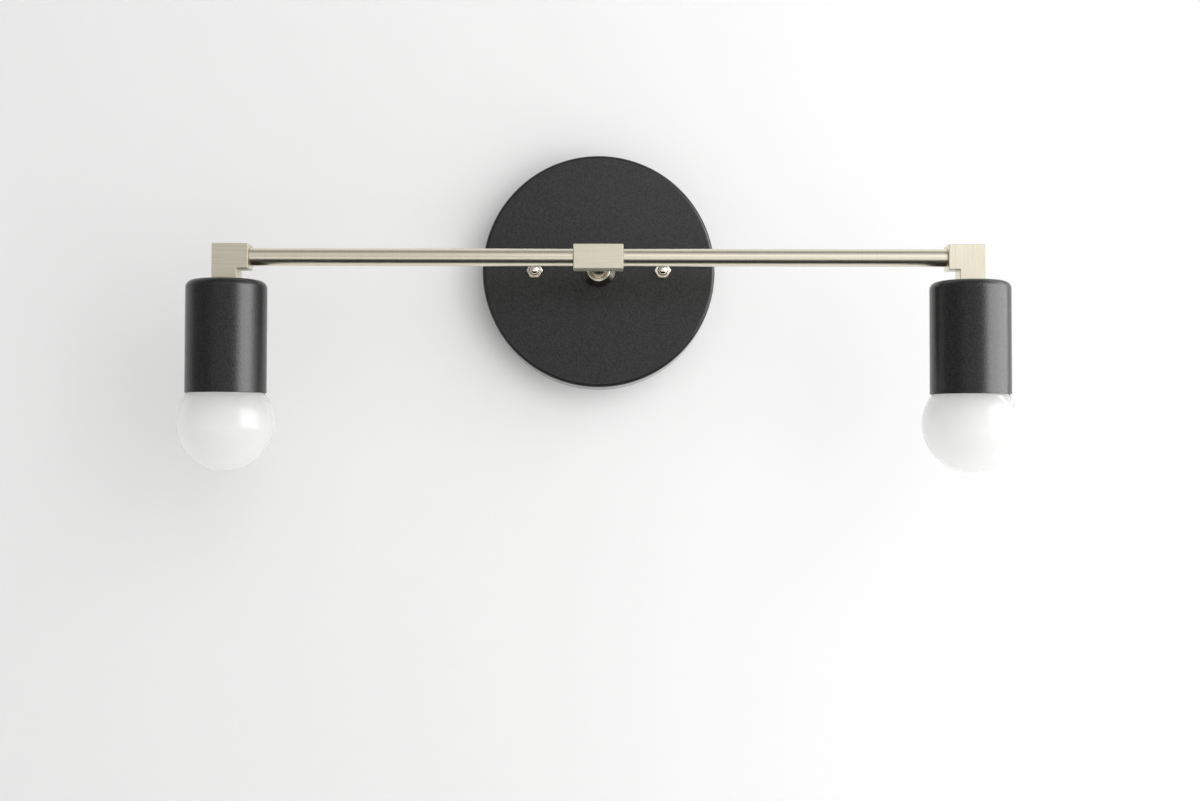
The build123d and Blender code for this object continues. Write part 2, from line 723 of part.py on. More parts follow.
    # Leads: from the connector through stem, T block, arm tube and elbow down to the lamp holder.
    # The live lead runs above the stem's axis and the neutral below; in the arm the pair makes a
    # quarter turn, so that it lies across the elbow's bend.
    for lead_name, level in (("live", 1), ("neutral", -1)):
        stem_x = side * lead_pitch
        stem_z = level * lead_offset
        entry_z = level * (connector_place - side * lead_pitch)
        lamp_lead_y = bar_y + level * lead_offset
        entry_radius = connector_entry_radius + (lead_pitch - stem_x)
        route = (
            (connector_mouth + connector_lead_depth, -lead_riser_out, entry_z),
            (stem_x, -lead_riser_out, entry_z),
            (stem_x, -lead_riser_out, stem_z),
            (stem_x, bar_y, stem_z),
            (side * lead_twist_start, bar_y, stem_z),
            (side * lead_twist_end, lamp_lead_y, 0),
            (side * lamp_x, lamp_lead_y, 0),
            (side * lamp_x, lamp_lead_y, lead_end_z),
        )
        bends = (
            entry_radius,
            lead_bend_radius,
            lead_bend_radius,
            lead_twist_radius,
            lead_twist_radius,
            lead_elbow_radius,
        )
        with BuildPart() as lead:
            with BuildLine() as lead_path:
                FilletPolyline(route, radius=bends)
            with BuildSketch(Plane(origin=route[0], z_dir=(-1, 0, 0))):
                Circle(lead_radius)
            sweep(path=lead_path.line)
        lead.part.label = f"{side_name}_{lead_name}_lead"
        export_step(lead.part, f"parts/{side_name}_{lead_name}_lead.step")
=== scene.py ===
import math

import bmesh
import bpy
import numpy as np
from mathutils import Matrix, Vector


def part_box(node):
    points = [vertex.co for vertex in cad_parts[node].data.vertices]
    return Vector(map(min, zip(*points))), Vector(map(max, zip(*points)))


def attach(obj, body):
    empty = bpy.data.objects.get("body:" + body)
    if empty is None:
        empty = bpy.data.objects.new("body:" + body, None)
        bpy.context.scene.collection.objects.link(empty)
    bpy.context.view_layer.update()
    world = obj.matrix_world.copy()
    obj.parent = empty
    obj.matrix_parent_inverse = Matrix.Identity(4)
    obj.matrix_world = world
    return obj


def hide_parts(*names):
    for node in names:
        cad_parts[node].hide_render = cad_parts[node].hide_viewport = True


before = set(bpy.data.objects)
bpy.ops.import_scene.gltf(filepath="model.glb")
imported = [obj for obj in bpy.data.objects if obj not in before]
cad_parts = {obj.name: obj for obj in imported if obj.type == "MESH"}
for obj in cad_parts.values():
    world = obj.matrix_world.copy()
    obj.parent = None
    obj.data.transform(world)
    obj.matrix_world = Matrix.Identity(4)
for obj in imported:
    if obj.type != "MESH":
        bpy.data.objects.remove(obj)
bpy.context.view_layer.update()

mm = 0.001

# Canopy: a round pan drawn from steel sheet, 1.2 mm thick, with a soft front edge and an open back.
# It is powder-coated a matte black, and the two cap nuts clamp it to the wall strap.
canopy_low, canopy_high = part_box("canopy")
canopy_depth = -canopy_low.y
canopy_rim_radius = canopy_high.x
canopy_draft = 0.8 * mm
canopy_wall = 1.2 * mm
canopy_front_edge = 2.0 * mm
canopy_inner_edge = 0.8 * mm
canopy_rim_edge = 0.3 * mm
canopy_columns = 256
stem_hole_radius = 4.15 * mm
towards_room = (0, -1, 0)
weld_distance = 0.001 * mm


def guarded(rows, hair=0.05 * mm):
    """Adds a row a hair after each row and a hair before the next, at row + share * (next - row).

    Smooth shading then turns only inside the hair, and long flat runs keep their own normal.
    """
    step = np.roll(rows, -1, 0) - rows
    length = np.linalg.norm(step, axis=-1, keepdims=True)
    share = np.minimum(hair / np.maximum(length, 1e-9), 1 / 3)
    trios = np.stack((rows, rows + share * step, rows + (1 - share) * step), 1)
    return trios.reshape(-1, *rows.shape[1:])


def rounded(corners, radii, closed=True, steps=8):
    """A profile through (radius, height) corners, each turned by an arc of its own radius.

    With half the angle between the two runs, the arc's centre lies radius / sin(half) from the corner
    on the bisector, and its points swing from one touching point to the other about that centre.
    """
    corners = np.array(corners, float)
    last = len(corners) - 1
    swing = np.linspace(0, 1, steps + 1)[:, None]
    parts = []
    for place, radius in enumerate(radii):
        corner = corners[place]
        if not closed and place in (0, last):
            parts.append(corner[None])
            continue
        back = corners[place - 1] - corner
        ahead = corners[(place + 1) % len(corners)] - corner
        back, ahead = back / np.linalg.norm(back), ahead / np.linalg.norm(ahead)
        half = math.acos(np.clip(back @ ahead, -1, 1)) / 2
        bisector = (back + ahead) / np.linalg.norm(back + ahead)
        centre = corner + bisector * radius / math.sin(half)
        start = corner + back * radius / math.tan(half) - centre
        end = corner + ahead * radius / math.tan(half) - centre
        turn = math.pi - 2 * half
        arc = (np.sin((1 - swing) * turn) * start + np.sin(swing * turn) * end) / math.sin(turn)
        parts.append(centre + arc)
    rows = guarded(np.vstack(parts))
    return rows if closed else rows[:-2]


def turned(profile, origin, axis, count=160):
    """Points of a turned surface, one row for each profile pair and one column for each angle.

    point = origin + height * axis + radius * (cos(angle) * side + sin(angle) * other).
    The radius may differ from column to column, as on threads and hexagons.
    """
    axis = np.array(axis, float)
    side = axis[[1, 2, 0]]
    other = np.cross(axis, side)
    angle = np.linspace(0, 2 * math.pi, count, endpoint=False) if np.isscalar(count) else count
    ring = np.cos(angle)[:, None] * side + np.sin(angle)[:, None] * other
    profile = profile if np.ndim(profile) == 3 else np.array(profile)[:, None]
    profile = np.broadcast_to(profile, (len(profile), len(angle), 2))
    return np.array(origin) + profile[..., 1:] * axis + profile[..., :1] * ring


def add_piece(name, grids, material, closed=True):
    """One mesh over grids of points. Each cell of four neighbours is a face, and columns join up.

    A closed grid also joins its last row to its first. Points that meet at a pole are merged, and
    faces are turned outwards where the volume that they enclose comes out negative.
    """
    points, faces, used = [], [], 0
    for grid in grids:
        index = used + np.arange(grid.shape[0] * grid.shape[1]).reshape(grid.shape[:2])
        used += index.size
        index = np.vstack((index, index[:1])) if closed else index
        index = np.hstack((index, index[:, :1]))
        cells = np.stack((index[:-1, :-1], index[:-1, 1:], index[1:, 1:], index[1:, :-1]), -1)
        cells = cells.reshape(-1, 4)
        a, b, c, d = np.moveaxis(grid.reshape(-1, 3)[cells - cells.min()], 1, 0)
        volume = np.sum(a * (np.cross(b, c) + np.cross(c, d)))
        faces.append(cells if volume > 0 else cells[:, ::-1])
        points.append(grid.reshape(-1, 3))
    mesh = bpy.data.meshes.new(name)
    mesh.from_pydata(np.vstack(points).tolist(), [], np.vstack(faces).tolist())
    shape = bmesh.new()
    shape.from_mesh(mesh)
    bmesh.ops.remove_doubles(shape, verts=shape.verts, dist=weld_distance)
    shape.to_mesh(mesh)
    shape.free()
    mesh.polygons.foreach_set("use_smooth", np.ones(len(mesh.polygons), bool))
    mesh.materials.append(material)
    piece = bpy.data.objects.new(name, mesh)
    bpy.context.scene.collection.objects.link(piece)
    return piece


def linear(code):
    """The linear colour of an sRGB hex code, by the sRGB curve."""
    srgb = np.array([int(code[place : place + 2], 16) for place in (1, 3, 5)]) / 255
    rgb = np.where(srgb <= 0.04045, srgb / 12.92, ((srgb + 0.055) / 1.055) ** 2.4)
    return (*rgb.tolist(), 1.0)


def feed(tree, node, inputs):
    """Sets a node's inputs: a socket is linked, and anything else is its constant value."""
    for name, value in inputs.items():
        if isinstance(value, bpy.types.NodeSocket):
            tree.links.new(value, node.inputs[name])
        else:
            node.inputs[name].default_value = value


def add_node(tree, kind, inputs, **settings):
    """Adds a shader node with its settings, and its inputs as values or links."""
    node = tree.nodes.new("ShaderNode" + kind)
    for name, value in settings.items():
        setattr(node, name, value)
    feed(tree, node, inputs)
    return node


def new_material(name):
    """A named material, with its node tree, its Principled shader and the Object coordinates."""
    material = bpy.data.materials.new(name)
    material.use_nodes = True
    tree = material.node_tree
    place = add_node(tree, "TexCoord", {}).outputs["Object"]
    return material, tree, tree.nodes["Principled BSDF"], place


# Powder coat, sprayed dry and baked: a fine pebbled skin that breaks reflections into a soft sheen.
# The real grain is about 0.3 mm, drawn at 0.9 mm so that it shows; a slower wave is its orange peel.
powder_grain = 0.9 * mm
powder_wave = 6.0 * mm
powder_base, powder_crest = "#050505", "#1F1F1F"
powder_trough, powder_peak = 0.38, 0.62  # noise levels where the base and the crest tone are reached
powder_smoothest, powder_dullest = 0.26, 0.33
powder_relief = 0.5  # strength of the grain's bump
powder_bump_height = 0.14 * mm
powder_grazing = 0.12  # share of the dullness and the bump that is left where the skin is seen edge-on
powder_turning, powder_edge_on = 0.78, 0.94  # Facing levels between which they fall to that share
powder_coat, tree, shader, place = new_material("black_powder_coat")
grain = add_node(tree, "TexNoise", {"Vector": place, "Scale": 1 / powder_grain, "Detail": 3.0})
wave = add_node(tree, "TexNoise", {"Vector": place, "Scale": 1 / powder_wave, "Detail": 2.0})
tone = add_node(tree, "ValToRGB", {"Fac": grain.outputs["Fac"]})
base_stop, crest_stop = tone.color_ramp.elements
base_stop.position, crest_stop.position = powder_trough, powder_peak
base_stop.color, crest_stop.color = linear(powder_base), linear(powder_crest)
dullness = add_node(tree, "MapRange", {
    "Value": wave.outputs["Fac"], "To Min": powder_smoothest, "To Max": powder_dullest,
}).outputs["Result"]
facing = add_node(tree, "LayerWeight", {"Blend": 0.5}).outputs["Facing"]
flattened = add_node(tree, "MapRange", {
    "Value": facing, "From Min": powder_turning, "From Max": powder_edge_on,
    "To Min": 1.0, "To Max": powder_grazing,
}).outputs["Result"]
gloss = add_node(tree, "Math", {0: dullness, 1: flattened}, operation="MULTIPLY")
relief = add_node(tree, "Math", {0: flattened, 1: powder_relief}, operation="MULTIPLY")
fine = add_node(tree, "Bump", {
    "Height": grain.outputs["Fac"], "Strength": relief.outputs["Value"], "Distance": powder_bump_height,
})
feed(tree, shader, {
    "Base Color": tone.outputs["Color"],
    "Roughness": gloss.outputs["Value"],
    "Normal": fine.outputs["Normal"],
    "IOR": 1.52,
})

canopy_front_radius = canopy_rim_radius - canopy_draft
canopy_profile = rounded(
    (
        (stem_hole_radius, canopy_depth),
        (canopy_front_radius, canopy_depth),
        (canopy_rim_radius, 0),
        (canopy_rim_radius - canopy_wall, 0),
        (canopy_front_radius - canopy_wall, canopy_depth - canopy_wall),
        (stem_hole_radius, canopy_depth - canopy_wall),
    ),
    (
        canopy_rim_edge, canopy_front_edge, canopy_rim_edge,
        canopy_rim_edge, canopy_inner_edge, canopy_rim_edge,
    ),
)
canopy_grid = turned(canopy_profile, (0, 0, 0), towards_room, canopy_columns)
canopy_pan = add_piece("canopy_pan", [canopy_grid], powder_coat)
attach(canopy_pan, "fixture")
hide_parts("canopy")

# Mounting strap, its two studs and their nuts: zinc-plated steel behind the canopy. The strap is
# stamped from flat bar and screwed to the outlet box, and the nuts lock the threaded studs on it.
stud_low, stud_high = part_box("mounting_studs")
stud_radius = stud_high.z
stud_length = -stud_low.y
stud_pitch = 0.794 * mm
stud_thread_depth = 0.42 * mm
stud_places = (stud_low.x + stud_radius, stud_high.x - stud_radius)
stud_columns = 48
stud_turn_rows = 12  # rows for each turn of the thread
nut_face_share = 0.96  # the end face's radius, as a share of half the width across flats
nut_cone_slope = math.radians(30)
nut_lead_in = 0.3 * mm


def mottled(name, grain, detail, colours, dullness, constants, bump=None):
    """A material whose tone, gloss and relief follow one noise of a real grain size.

    The grain is one length, or a length along each of X, Y and Z. The colours are a hex code, or two
    that the noise runs between, and dullness is a roughness, or the lowest and the highest. The bump
    is a strength and a height. The constants are set on the shader's own sockets.
    """
    material, tree, shader, place = new_material(name)
    scale = 1.0
    if np.ndim(grain):
        lengths = {"Vector": place, "Scale": tuple(1 / length for length in grain)}
        place = add_node(tree, "Mapping", lengths).outputs["Vector"]
    else:
        scale = 1 / grain
    noise = add_node(tree, "TexNoise", {"Vector": place, "Scale": scale, "Detail": detail}).outputs["Fac"]
    inputs = dict(constants)
    if isinstance(colours, str):
        inputs["Base Color"] = linear(colours)
    else:
        tone = add_node(tree, "ValToRGB", {"Fac": noise})
        for stop, code in zip(tone.color_ramp.elements, colours):
            stop.color = linear(code)
        inputs["Base Color"] = tone.outputs["Color"]
    if np.ndim(dullness):
        smoothest, dullest = dullness
        span = {"Value": noise, "To Min": smoothest, "To Max": dullest}
        inputs["Roughness"] = add_node(tree, "MapRange", span).outputs["Result"]
    else:
        inputs["Roughness"] = dullness
    if bump:
        strength, height = bump
        relief = {"Height": noise, "Strength": strength, "Distance": height}
        inputs["Normal"] = add_node(tree, "Bump", relief).outputs["Normal"]
    feed(tree, shader, inputs)
    return material


def dress(node, material):
    """Gives a CAD node, which stays as it is, a finished material in place of its plain one."""
    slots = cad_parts[node].data.materials
    slots.clear()
    slots.append(material)


# Zinc plate, from a bath: pale grey metal, clouded in patches that are brighter or duller.
zinc_cloud = 4.0 * mm
zinc_tones = ("#B4B7BA", "#D2D3D2")
zinc_dullness = (0.26, 0.44)
bare_metal = {"Metallic": 1.0}
zinc_plate = mottled("zinc_plated_steel", zinc_cloud, 4.0, zinc_tones, zinc_dullness, bare_metal)
dress("mounting_strap", zinc_plate)


def threaded(radius, depth, pitch, start, end, fade, columns, turn_rows):
    """(radius, height) of a thread: radius - depth * (0.5 - 0.5 * cos(2 pi height / pitch - angle)).

    The depth fades out over the given length at both ends, where the thread runs out.
    """
    height = np.linspace(start, end, int((end - start) / pitch * turn_rows))[:, None]
    angle = np.linspace(0, 2 * math.pi, columns, endpoint=False)
    runout = np.clip(np.minimum(height - start, end - height) / fade, 0, 1)
    wave = 0.5 - 0.5 * np.cos(2 * math.pi * height / pitch - angle)
    thread = radius - depth * runout * wave
    return np.stack((thread, np.broadcast_to(height, thread.shape)), -1)


def capped(profile):
    """Closes a grid of (radius, height) rows with a flat end at each side, by rows of radius 0."""
    ends = profile[[0, -1]] * (0, 1)
    return np.concatenate((ends[:1], profile, ends[1:]))


stud_thread = capped(threaded(
    stud_radius, stud_thread_depth, stud_pitch, 0, stud_length, stud_pitch, stud_columns, stud_turn_rows,
))
stud_rods = [turned(stud_thread, (x, 0, 0), towards_room, stud_columns) for x in stud_places]
threaded_studs = add_piece("threaded_studs", stud_rods, zinc_plate, closed=False)
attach(threaded_studs, "fixture")
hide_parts("mounting_studs")

# Columns of a hexagon: a corner at the start of each sixth, and a column one degree to each side of it.
sixth = math.radians(60)
sixth_columns = np.radians((0, 1, 10, 20, 30, 40, 50, 59))
hexagon_angles = (sixth * np.arange(6)[:, None] + sixth_columns).ravel()


def hexagon_radius(across_flats):
    """The flats' radius in each column: (across flats / 2) / cos(angle from the flat's middle)."""
    return across_flats / 2 / np.cos(hexagon_angles % sixth - sixth / 2)


def hexagon(across_flats, height, bore):
    """(radius, height) rows of a hexagon nut, one column for each of hexagon_angles.

    Both ends are turned to a cone, which meets the flats (radius - face radius) * tan(slope) below the
    end face, and the bore is widened by a lead-in at both ends.
    """
    flat = hexagon_radius(across_flats)
    face = np.full_like(flat, across_flats / 2 * nut_face_share)
    hole = np.full_like(flat, bore)
    mouth = hole + nut_lead_in
    drop = (flat - face) * math.tan(nut_cone_slope)
    low, high = np.zeros_like(flat), np.full_like(flat, height)
    rows = (
        (mouth, low), (face, low), (flat, drop), (flat, height - drop),
        (face, high), (mouth, high), (hole, high - nut_lead_in), (hole, low + nut_lead_in),
    )
    return guarded(np.array(rows).transpose(0, 2, 1))


strap_nut_low, strap_nut_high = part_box("strap_nuts")
strap_nut_width = strap_nut_high.z - strap_nut_low.z
strap_nut = hexagon(strap_nut_width, strap_nut_high.y - strap_nut_low.y, stud_radius)
strap_nut_grids = [
    turned(strap_nut, (x, strap_nut_high.y, 0), towards_room, hexagon_angles) for x in stud_places
]
lock_nuts = add_piece("lock_nuts", strap_nut_grids, zinc_plate)
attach(lock_nuts, "fixture")
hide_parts("strap_nuts")

# Ground screw: a slotted hexagon screw in the strap, dyed green so that it is known by its colour.
# The dye over zinc is thin and glossy, a little uneven where it ran.
dye_run = 1.5 * mm
dye_tones = ("#1E7A3A", "#2E9650")
green_dye = mottled("green_dyed_steel", dye_run, 2.0, dye_tones, 0.28, {"Metallic": 0.6})
dress("ground_screw", green_dye)

# Cap nuts: two domed hexagon nuts, nickel-plated and polished, tight on the canopy's face.
# They close the ends of the studs and are the only fasteners that show; a groove rings each dome.
cap_low, cap_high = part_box("cap_nuts")
cap_across_flats = cap_high.z - cap_low.z
cap_height = cap_high.y - cap_low.y
cap_hex_height = 4.0 * mm
cap_hex_edge = 0.12 * mm
cap_corner_radius = 4.15 * mm
cap_corner_slope = math.radians(30)
cap_groove_radius = 3.3 * mm
cap_groove_depth = 0.5 * mm
cap_dome_radius = 2.9 * mm
cap_dome_band = 0.5 * mm
cap_dome_steps = 13

# Polished nickel plate: bright and slightly yellow, with faint hairlines left by the polishing wheel.
polish_line = 0.5 * mm
polish_length = 5.0 * mm
polish_hairline = (polish_length, polish_line, polish_line)
polished_nickel = mottled(
    "polished_nickel_plate", polish_hairline, 2.0, "#EFE9DA", (0.05, 0.12), bare_metal,
)

cap_flat = hexagon_radius(cap_across_flats)
cap_face = np.minimum(cap_flat - cap_hex_edge, cap_corner_radius)
cap_drop = (cap_flat - cap_face) * math.tan(cap_corner_slope)
cap_foot = np.zeros_like(cap_flat)
cap_groove_floor = cap_hex_height - cap_groove_depth
cap_band_top = cap_hex_height + cap_dome_band
cap_rows = guarded(np.array((
    (cap_foot, cap_foot),
    (cap_flat - cap_hex_edge, cap_foot),
    (cap_flat, cap_foot + cap_hex_edge),
    (cap_flat, cap_hex_height - cap_drop),
    (cap_face, cap_foot + cap_hex_height),
    (cap_foot + cap_groove_radius, cap_foot + cap_hex_height),
    (cap_foot + cap_groove_radius, cap_foot + cap_groove_floor),
    (cap_foot + cap_dome_radius, cap_foot + cap_groove_floor),
    (cap_foot + cap_dome_radius, cap_foot + cap_band_top),
)).transpose(0, 2, 1))[:-2]
dome_swing = np.linspace(0, math.pi / 2, cap_dome_steps + 1)[1:, None]
dome_rows = np.stack((
    cap_dome_radius * np.cos(dome_swing) + cap_foot,
    cap_band_top + (cap_height - cap_band_top) * np.sin(dome_swing) + cap_foot,
), -1)
cap_rows = np.concatenate((cap_rows, dome_rows))
cap_grids = [turned(cap_rows, (x, cap_high.y, 0), towards_room, hexagon_angles) for x in stud_places]
domed_nuts = add_piece("domed_nuts", cap_grids, polished_nickel, closed=False)
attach(domed_nuts, "fixture")
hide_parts("cap_nuts")

# Stem collar: a turned cone that hides the stem's hole in the canopy, polished like the cap nuts.
# Its front is recessed round the stem, which leaves a thin bright lip, rounded like a bead.
collar_low, collar_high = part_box("stem_collar")
collar_height = collar_high.y - collar_low.y
collar_base_radius = collar_high.x
collar_bore_radius = 4.65 * mm
collar_base_band = 0.8 * mm
collar_lip_radius = 6.1 * mm
collar_recess_radius = 5.3 * mm
collar_recess_depth = 1.2 * mm
collar_edge = 0.15 * mm
collar_lip_edge = 0.35 * mm
collar_profile = rounded(
    (
        (collar_bore_radius, 0),
        (collar_base_radius, 0),
        (collar_base_radius, collar_base_band),
        (collar_lip_radius, collar_height),
        (collar_recess_radius, collar_height),
        (collar_recess_radius, collar_height - collar_recess_depth),
        (collar_bore_radius, collar_height - collar_recess_depth),
    ),
    (collar_edge, collar_edge, collar_edge, collar_lip_edge, collar_lip_edge, collar_edge, collar_edge),
)
collar_grid = turned(collar_profile, (0, collar_high.y, 0), towards_room)
collar_cone = add_piece("collar_cone", [collar_grid], polished_nickel)
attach(collar_cone, "fixture")
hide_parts("stem_collar")

# Stem: a thick-walled nickel-plated tube that shoulders on the canopy and on the T block. It screws
# into the block, and a lock washer and a hexagon nut clamp it inside the canopy.
stem_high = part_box("stem")[1]
tee_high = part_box("tee_block")[1]
stem_radius = stem_high.x
stem_bore_radius = 3.1 * mm
stem_thread_radius = 4.0 * mm
stem_edge = 0.2 * mm
stem_columns = 96
brush_line = 0.4 * mm
brush_run = 14.0 * mm
brush_relief = 0.03  # strength of the lines' bump
brush_depth = 0.05 * mm


def brushed_nickel(name, line, run, dullness, tones=("#DFD7C3", "#ECE5D3")):
    """Satin nickel plate, brushed on a belt: fine lines along one way that stretch each reflection.

    The belt's lines are about 0.05 mm apart, drawn at the line spacing given so that they show. Run is
    their length along X, Y and Z, and no length is under the spacing: the longest is the brush's way.
    """
    lengths = tuple(max(length, line) for length in run)
    return mottled(name, lengths, 4.0, tones, dullness, bare_metal, (brush_relief, brush_depth))


round_the_stem = (brush_run, 0, brush_run)
nickel_round_y = brushed_nickel("nickel_brushed_round_stem", brush_line, round_the_stem, (0.10, 0.16))
stem_profile = rounded(
    (
        (stem_bore_radius, -stem_high.y),
        (stem_thread_radius, -stem_high.y),
        (stem_thread_radius, canopy_depth),
        (stem_radius, canopy_depth),
        (stem_radius, -tee_high.y),
        (stem_bore_radius, -tee_high.y),
    ),
    (stem_edge,) * 6,
)
stem_grid = turned(stem_profile, (0, 0, 0), towards_room, stem_columns)
stem_tube = add_piece("stem_tube", [stem_grid], nickel_round_y)
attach(stem_tube, "fixture")
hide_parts("stem")

dress("stem_washer", zinc_plate)
stem_nut_low, stem_nut_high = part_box("stem_nut")
stem_nut_width = stem_nut_high.z - stem_nut_low.z
stem_nut = hexagon(stem_nut_width, stem_nut_high.y - stem_nut_low.y, stem_thread_radius)
stem_nut_grid = turned(stem_nut, (0, stem_nut_high.y, 0), towards_room, hexagon_angles)
clamp_nut = add_piece("clamp_nut", [stem_nut_grid], zinc_plate)
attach(clamp_nut, "fixture")
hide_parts("stem_nut")

# T block: a length of square brass bar, chamfered, drilled for the tubes and the stem, then plated
# and brushed along its length. Its lines are drawn further apart than the tubes', to show on the flats.
block_line = 0.6 * mm
block_tones = ("#D5CDB8", "#F3ECDA")
along_the_bar = (brush_run, 0, 0)
nickel_along_x = brushed_nickel(
    "nickel_brushed_along", block_line, along_the_bar, (0.36, 0.46), block_tones,
)
dress("tee_block", nickel_along_x)

# Arm tubes: two round nickel-plated tubes, shouldered between the T block and the elbows. They were
# polished turning in a lathe, so the lines run round them and reflections stay in clean bands.
tube_low, tube_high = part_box("right_arm_tube")
bar_y = (tube_low.y + tube_high.y) / 2
tube_radius = tube_high.z
tube_bore_radius = 3.1 * mm
tube_edge = 0.3 * mm
tube_columns = 128
sides = {"left": -1, "right": 1}
round_the_bar = (0, brush_run, brush_run)
nickel_round_x = brushed_nickel("nickel_brushed_round_bar", brush_line, round_the_bar, (0.27, 0.34))
elbow_inner_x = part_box("right_elbow")[0].x
tube_profile = rounded(
    (
        (tube_bore_radius, tee_high.x),
        (tube_radius, tee_high.x),
        (tube_radius, elbow_inner_x),
        (tube_bore_radius, elbow_inner_x),
    ),
    (tube_edge,) * 4,
)
for side_name, side in sides.items():
    tube_grid = turned(tube_profile, (0, bar_y, 0), (side, 0, 0), tube_columns)
    bar_tube = add_piece(side_name + "_bar_tube", [tube_grid], nickel_round_x)
    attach(bar_tube, "fixture")
    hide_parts(side_name + "_arm_tube")

# Elbows: square bar cut to an L and brushed, the left one along the bar and the right one upright.
# Each is screwed on its tube and holds the nipple that its cup hangs from.
up_the_leg = (0, 0, brush_run)
nickel_upright = brushed_nickel(
    "nickel_brushed_upright", block_line, up_the_leg, (0.26, 0.34), block_tones,
)
dress("left_elbow", nickel_along_x)
dress("right_elbow", nickel_upright)

# Socket cups: spun steel shells with a rounded top, powder-coated like the canopy.
# A nipple and a nut hold each cup, and the bracket inside it, up against its elbow.
cup_wall = 0.8 * mm
cup_top_edge = 4.0 * mm
cup_mouth_edge = 0.25 * mm
cup_hole_radius = 4.15 * mm
upwards = (0, 0, 1)
for side_name in sides:
    cup_low, cup_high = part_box(side_name + "_socket_cup")
    cup_axis = ((cup_low.x + cup_high.x) / 2, (cup_low.y + cup_high.y) / 2, 0)
    cup_radius = (cup_high.x - cup_low.x) / 2
    cup_profile = rounded(
        (
            (cup_hole_radius, cup_high.z),
            (cup_radius, cup_high.z),
            (cup_radius, cup_low.z),
            (cup_radius - cup_wall, cup_low.z),
            (cup_radius - cup_wall, cup_high.z - cup_wall),
            (cup_hole_radius, cup_high.z - cup_wall),
        ),
        (
            cup_mouth_edge, cup_top_edge, cup_mouth_edge,
            cup_mouth_edge, cup_top_edge - cup_wall, cup_mouth_edge,
        ),
    )
    cup_grid = turned(cup_profile, cup_axis, upwards)
    cup_shell = add_piece(side_name + "_cup_shell", [cup_grid], powder_coat)
    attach(cup_shell, "fixture")
    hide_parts(side_name + "_socket_cup")
    for fixing in ("socket_nipple", "holder_bracket", "nipple_nut", "holder_screws"):
        dress(side_name + "_" + fixing, zinc_plate)

# Lamp holders: a pressed porcelain body, glazed white, with a brass screw shell and a brass contact
# leaf inside. Two screws pull it up to the bracket, and the lamp's cap screws into the shell.
holder_top_radius = 15.0 * mm
holder_top_height = 9.0 * mm
holder_edge = 1.5 * mm
shell_wall = 0.2 * mm
shell_top_gap = 0.5 * mm
shell_thread_depth = 0.5 * mm
lamp_pitch = 3.63 * mm
lamp_columns = 128
lamp_turn_rows = 24

# Glazed porcelain: a warm white under a clear wet gloss, faintly uneven in tone.
glaze_speck = 3.0 * mm
glaze_tones = ("#DDD8CC", "#EAE6DC")
glaze_coat = {"IOR": 1.5, "Coat Weight": 0.3}
porcelain = mottled("glazed_porcelain", glaze_speck, 3.0, glaze_tones, 0.14, glaze_coat)

# Stamped brass: yellow metal, clouded where tarnish has dulled and darkened it.
tarnish = 5.0 * mm
brass_tones = ("#B98F4A", "#D9B36A")
socket_brass = mottled("stamped_brass", tarnish, 4.0, brass_tones, (0.2, 0.38), bare_metal)

for side_name in sides:
    holder_low, holder_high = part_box(side_name + "_lamp_holder")
    shell_low, shell_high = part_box(side_name + "_screw_shell")
    lamp_x = (holder_low.x + holder_high.x) / 2
    holder_radius = (holder_high.x - holder_low.x) / 2
    shell_radius = (shell_high.x - shell_low.x) / 2
    shoulder_z = holder_high.z - holder_top_height
    holder_profile = rounded(
        (
            (0, holder_high.z),
            (holder_top_radius, holder_high.z),
            (holder_top_radius, shoulder_z),
            (holder_radius, shoulder_z),
            (holder_radius, holder_low.z),
            (shell_radius, holder_low.z),
            (shell_radius, shell_high.z),
            (0, shell_high.z),
        ),
        (0, holder_edge, stem_edge, holder_edge, holder_edge, holder_edge / 2, stem_edge, 0),
        closed=False,
    )
    lamp_axis = (lamp_x, bar_y, 0)
    holder_grid = turned(holder_profile, lamp_axis, upwards, lamp_columns)
    porcelain_body = add_piece(side_name + "_porcelain_body", [holder_grid], porcelain, closed=False)
    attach(porcelain_body, "fixture")
    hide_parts(side_name + "_lamp_holder")

    shell_inner = threaded(
        shell_radius - shell_wall, shell_thread_depth, lamp_pitch,
        shell_low.z, shell_high.z - shell_top_gap, lamp_pitch, lamp_columns, lamp_turn_rows,
    )
    shell_outer = shell_inner[::-1] * (0, 1) + (shell_radius, 0)
    shell_rows = np.concatenate((shell_inner, shell_outer))
    shell_grid = turned(shell_rows, lamp_axis, upwards, lamp_columns)
    thread_shell = add_piece(side_name + "_thread_shell", [shell_grid], socket_brass)
    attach(thread_shell, "fixture")
    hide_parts(side_name + "_screw_shell")
    dress(side_name + "_centre_contact", socket_brass)

# Lamps: a blown globe of opal glass in a threaded aluminium cap, with a black glass insulator and a
# solder tip. Each rides on its own body, because it comes down out of its cup when it is unscrewed.
globe_neck_radius = 12.5 * mm
neck_blend_radius = 10.0 * mm
neck_in_cap = 3.0 * mm
neck_lead_in = 0.4 * mm
neck_steps = 16
globe_steps = 40
screw_thread_depth = 0.62 * mm
screw_skirt = 5.0 * mm
screw_skirt_edge = 0.2 * mm
screw_shoulder = 1.2 * mm
screw_crown = 0.4 * mm
insulator_seat = 2.0 * mm
insulator_columns = 96
tip_edge = 0.6 * mm
tip_columns = 64

# Opal glass: white all through, so light sinks in a little, under a smooth fire-polished skin.
opal_cloud = 30.0 * mm
opal_tones = ("#EEEEEC", "#F2F2F0")
opal_glass = mottled("opal_glass", opal_cloud, 1.0, opal_tones, 0.07, {
    "IOR": 1.5,
    "Specular IOR Level": 0.35,
    "Subsurface Weight": 1.0,
    "Subsurface Radius": (1.0, 1.0, 1.0),
    "Subsurface Scale": 150.0 * mm,
})

